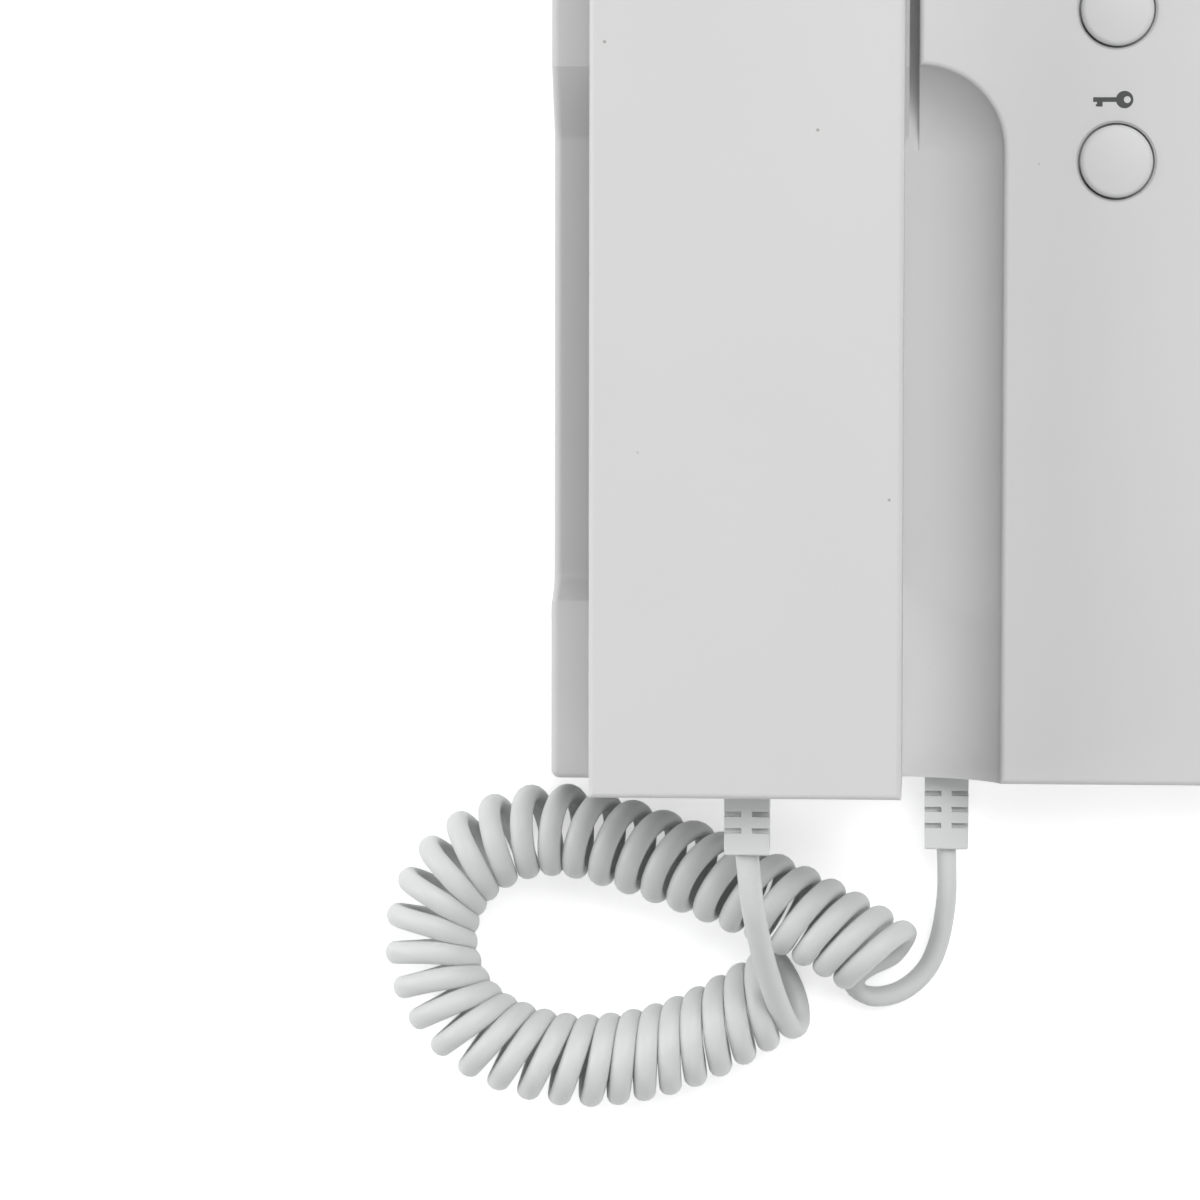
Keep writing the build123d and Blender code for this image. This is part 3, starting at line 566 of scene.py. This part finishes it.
# The push buttons

# a button's stem, and the heights above the table between which its flange lies
STEM_RADIUS = 2.5 * MM
FLANGE_FOOT = 21.7 * MM
FLANGE_TOP = 22.9 * MM
# steps round the cap's edge, and the rings across its face as shares of its radius
EDGE_STEPS = 7
FACE_RINGS = (0.9, 0.75, 0.55, 0.3, 0.08)
CAP_SIDES = 96
CAP_ROUGHNESS = 0.5


def turned(rings, sides):
    """A closed solid of revolution about Z, from rings of radius and height, bottom to top."""
    deselect_all()
    radius, height = rings[0]
    place = (0, 0, height)
    bpy.ops.mesh.primitive_circle_add(vertices=sides, radius=radius, fill_type="NGON", location=place)
    piece = bpy.context.object
    bpy.ops.object.transform_apply(location=True)
    bpy.ops.object.mode_set(mode="EDIT")
    bpy.ops.mesh.select_all(action="SELECT")
    for (before_radius, before_height), (radius, height) in zip(rings, rings[1:]):
        share = radius / before_radius
        rise = (0, 0, height - before_height)
        bpy.ops.mesh.extrude_region_move(TRANSFORM_OT_translate={"value": rise})
        bpy.ops.transform.resize(value=(share, share, 1), center_override=(0, 0, height))
    bpy.ops.mesh.select_all(action="SELECT")
    bpy.ops.mesh.normals_make_consistent(inside=False)
    bpy.ops.object.mode_set(mode="OBJECT")
    return piece


class PHONE_OT_buttons(bpy.types.Operator):
    """Turn the two round push buttons with their crowned faces"""

    bl_idname = "phone.buttons"
    bl_label = "Push Buttons"

    def execute(self, context):
        sizes, colours = context.scene.phone_sizes, context.scene.phone_colours
        # one colour all over, with no flow marks or dust
        even = (colours.button, colours.button, colours.button)
        material = moulded_abs("satin_abs", *even, CAP_ROUGHNESS)
        for node in ("door_button", "call_button"):
            low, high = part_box(node)
            centre = [(a + b) / 2 for a, b in zip(low, high)]
            cap = self.cap(sizes, low[2], high[2], (high[0] - low[0]) / 2)
            cap.location = (centre[0], centre[1], 0)
            finish_piece(cap, node + "_cap", material, node)
            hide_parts(node)
        return {"FINISHED"}

    def cap(self, sizes, foot, top, flange_radius):
        """A stem, a flange that holds the button in its hole, and a cap with a rounded edge."""
        cap_radius = flange_radius - sizes.flange_width
        edge = top - sizes.crown
        rings = [
            (STEM_RADIUS, foot),
            (STEM_RADIUS, FLANGE_FOOT),
            (flange_radius, FLANGE_FOOT),
            (flange_radius, FLANGE_TOP),
            (cap_radius, FLANGE_TOP),
            (cap_radius, edge - sizes.cap_round),
        ]
        for step in range(1, EDGE_STEPS + 1):
            turn = pi / 2 * step / EDGE_STEPS
            rings.append(
                (
                    cap_radius - sizes.cap_round * (1 - cos(turn)),
                    edge - sizes.cap_round * (1 - sin(turn)),
                )
            )
        face = rings[-1][0]
        for share in FACE_RINGS:
            rings.append((face * share, edge + sizes.crown * (1 - share * share)))
        cap = turned(rings, CAP_SIDES)
        smooth(cap, degrees=30)
        return cap


# The key sign over the lower button

# its parts in millimetres: the round head and its eye with middle and radius, and the shaft and the two
# steps of the bit with middle, width and height
KEY_HEAD = (32.3, 17.4, 1.47)
KEY_EYE = (32.75, 17.4, 0.58)
KEY_BARS = (
    (29.2, 17.4, 4.4, 0.78),
    (28.12, 16.72, 0.95, 1.0),
    (27.8, 16.44, 0.7, 0.35),
)
# sides of the head and of the eye
KEY_SIDES = 64
# screen-printed ink: dark grey and nearly matt, with a fine grain
INK_ROUGHNESS = 0.55
INK_GRAIN = 0.2 * MM
INK_GRAIN_HEIGHT = 0.002 * MM


class PHONE_OT_key_sign(bpy.types.Operator):
    """Print the key sign on the panel"""

    bl_idname = "phone.key_sign"
    bl_label = "Key Sign"

    def execute(self, context):
        sizes, colours = context.scene.phone_sizes, context.scene.phone_colours
        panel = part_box("front_housing")[1][2]
        ink = plain_finish("screen_print_ink", colours.ink, INK_ROUGHNESS, INK_GRAIN, INK_GRAIN_HEIGHT)
        head = self.disc(*KEY_HEAD, panel, sizes.ink)
        for place in KEY_BARS:
            bar = self.bar(*place, panel, sizes.ink)
            apply_modifier(head, "BOOLEAN", operation="UNION", solver="EXACT", object=bar)
            bpy.data.objects.remove(bar)
        # what cuts the eye reaches past the ink above and below
        eye = self.disc(*KEY_EYE, panel - sizes.ink, 4 * sizes.ink)
        apply_modifier(head, "BOOLEAN", operation="DIFFERENCE", solver="EXACT", object=eye)
        bpy.data.objects.remove(eye)
        finish_piece(head, "key_sign", ink, "base")
        return {"FINISHED"}

    def disc(self, x, y, radius, foot, thickness):
        deselect_all()
        bpy.ops.mesh.primitive_cylinder_add(
            vertices=KEY_SIDES,
            radius=radius * MM,
            depth=thickness,
            location=(x * MM, y * MM, foot + thickness / 2),
        )
        bpy.ops.object.transform_apply(location=True)
        return bpy.context.object

    def bar(self, x, y, width, height, foot, thickness):
        deselect_all()
        bpy.ops.mesh.primitive_cube_add(size=1, location=(x * MM, y * MM, foot + thickness / 2))
        bar = bpy.context.object
        bar.scale = (width * MM, height * MM, thickness)
        apply_place(bar)
        return bar


# Finishes of the frame's own pieces

HOUSING_ROUGHNESS = 0.5
# for each slot of the frame: the material's name, its colour, its roughness, the size and the height
# of its grain in millimetres, and 1 for a metal
PLAIN_FINISHES = {
    # satin ABS below the caps
    "button_abs": ("button_abs_plain", "button", 0.4, 0.3, 0.003, 0.0),
    # PVC moulded onto the plugs: satin, with soft lights on its ribs
    "plug_plastic": ("moulded_pvc", "plug", 0.4, 0.4, 0.005, 0.0),
    # PVC under the cord's jacket
    "cord_pvc": ("cord_core", "cable", 0.4, 0.5, 0.004, 0.0),
    # steel with a thin zinc plate: bright grey, with blurred reflections
    "steel": ("zinc_plated_steel", "steel", 0.35, 0.2, 0.004, 1.0),
    # lacquer over woven glass: glossy green, slightly wavy
    "circuit_board": ("solder_mask", "board", 0.35, 1.0, 0.01, 0.0),
    # moulded nylon: black, between satin and matt
    "dark_plastic": ("black_nylon", "black", 0.45, 0.3, 0.006, 0.0),
    # moulded rubber: dull black
    "rubber": ("moulded_rubber", "rubber", 0.7, 0.4, 0.01, 0.0),
    # open foam: no gloss at all, with pores
    "foam": ("open_foam", "foam", 0.95, 0.5, 0.15, 0.0),
}


class PHONE_OT_finishes(bpy.types.Operator):
    """Give each piece of the frame the finish of its material slot"""

    bl_idname = "phone.finishes"
    bl_label = "Finishes"

    def execute(self, context):
        colours = context.scene.phone_colours
        shades = (colours.housing, colours.housing_shade, colours.dust)
        finishes = {"housing_abs": moulded_abs("matt_abs", *shades, HOUSING_ROUGHNESS)}
        for slot, (name, shade, roughness, grain, height, metallic) in PLAIN_FINISHES.items():
            base = getattr(colours, shade)
            finishes[slot] = plain_finish(name, base, roughness, grain * MM, height * MM, metallic)
        for subpart in frame["record"]["subparts"]:
            node = frame["nodes"][subpart["node"]]
            for place in node.material_slots:
                place.material = finishes[subpart["material_slot"]]
        return {"FINISHED"}


# The stage

# a wide soft lamp over the phone's far right corner and weaker ones round it, each with its place and
# size in metres and its power in watts
LAMPS = {
    "key_lamp": ((0.35, 0.7, 1.2), 1.1, 13.8),
    "left_lamp": ((-1.1, 0.1, 0.5), 0.9, 8.0),
    "right_lamp": ((1.0, 0.1, 0.9), 1.0, 2.8),
    "foot_lamp": ((0.2, -1.0, 0.8), 1.0, 3.8),
}
LAMP_AIM = (-0.02, -0.03, 0.02)
ROOM_LIGHT = 0.12
TABLE_SIZE = 6
# a hair below the phone's back, so that the two don't share a plane
TABLE_DROP = 0.05 * MM


class PHONE_OT_stage(bpy.types.Operator):
    """Set up the camera, the lamps, the table and the white surroundings"""

    bl_idname = "phone.stage"
    bl_label = "Stage"

    def execute(self, context):
        self.camera(context.scene)
        for name, (place, size, power) in LAMPS.items():
            self.lamp(name, place, size, power)
        self.surroundings(context.scene)
        self.table(context.scene.phone_colours)
        context.scene.view_settings.view_transform = "Standard"
        return {"FINISHED"}

    def camera(self, scene):
        """Above the middle of the body and aimed at the lower half of the handset, as in the photo."""
        place = Vector((0.5, 0.6, 905.6)) * MM
        target = Vector((-48.1, -59.6, 25.0)) * MM
        # the picture's width and the focal length are in its pixels, and the roll is in radians
        picture, focal, roll = 1200, 5181, 0.0021
        data = bpy.data.cameras.new("camera")
        data.sensor_width = 36.0
        data.lens = data.sensor_width * focal / picture
        # moves the phone up and to the right in the frame, as the photo has it
        data.shift_x = data.shift_y = -0.04
        camera = bpy.data.objects.new("camera", data)
        scene.collection.objects.link(camera)
        look = (target - place).normalized()
        right = look.cross(Vector((0, 1, 0))).normalized()
        turn = Matrix((right, right.cross(look), -look)).transposed() @ Matrix.Rotation(roll, 3, "Z")
        camera.matrix_world = Matrix.LocRotScale(place, turn, None)
        scene.camera = camera

    def lamp(self, name, place, size, power):
        data = bpy.data.lights.new(name, "AREA")
        data.shape = "DISK"
        data.size = size
        data.energy = power
        lamp = bpy.data.objects.new(name, data)
        bpy.context.collection.objects.link(lamp)
        lamp.location = place
        aim = Vector(LAMP_AIM) - Vector(place)
        lamp.rotation_euler = aim.to_track_quat("-Z", "Y").to_euler()

    def surroundings(self, scene):
        world = bpy.data.worlds.new("white_room")
        scene.world = world
        world.use_nodes = True
        tree = world.node_tree
        tree.nodes.clear()
        room = add_node(tree, "ShaderNodeBackground", {"Color": WHITE, "Strength": ROOM_LIGHT})
        seen = add_node(tree, "ShaderNodeBackground", {"Color": WHITE, "Strength": 1.0})
        camera_ray = add_node(tree, "ShaderNodeLightPath").outputs["Is Camera Ray"]
        both = add_node(
            tree,
            "ShaderNodeMixShader",
            {"Fac": camera_ray, 1: room.outputs[0], 2: seen.outputs[0]},
        )
        add_node(tree, "ShaderNodeOutputWorld", {"Surface": both.outputs[0]})

    def table(self, colours):
        deselect_all()
        bpy.ops.mesh.primitive_plane_add(size=TABLE_SIZE, location=(0, 0, -TABLE_DROP))
        table = bpy.context.object
        table.name = "table"
        table.data.materials.append(table_white("white_table", colours.floor))


class PHONE_PT_panel(bpy.types.Panel):
    """Lists the phone's pieces and their sizes and colours"""

    bl_label = "Intercom Phone"
    bl_idname = "PHONE_PT_panel"
    bl_space_type = "VIEW_3D"
    bl_region_type = "UI"
    bl_category = "Phone"

    def draw(self, context):
        for operator in OPERATORS:
            self.layout.operator(operator.bl_idname)
        for group in (context.scene.phone_sizes, context.scene.phone_colours):
            box = self.layout.box()
            for name in group.bl_rna.properties.keys():
                if name not in ("rna_type", "name"):
                    box.prop(group, name)


# The stage and the cord come first, then the pieces
OPERATORS = (
    PHONE_OT_stage,
    PHONE_OT_curly_cord,
    PHONE_OT_finishes,
    PHONE_OT_buttons,
    PHONE_OT_key_sign,
)
CLASSES = (PhoneSizes, PhoneColours, *OPERATORS, PHONE_PT_panel)


def register():
    for item in CLASSES:
        bpy.utils.register_class(item)
    bpy.types.Scene.phone_sizes = bpy.props.PointerProperty(type=PhoneSizes)
    bpy.types.Scene.phone_colours = bpy.props.PointerProperty(type=PhoneColours)


def unregister():
    del bpy.types.Scene.phone_sizes
    del bpy.types.Scene.phone_colours
    for item in reversed(CLASSES):
        bpy.utils.unregister_class(item)


def main():
    register()
    for operator in OPERATORS:
        group, name = operator.bl_idname.split(".")
        getattr(getattr(bpy.ops, group), name)()


if __name__ == "__main__":
    main()
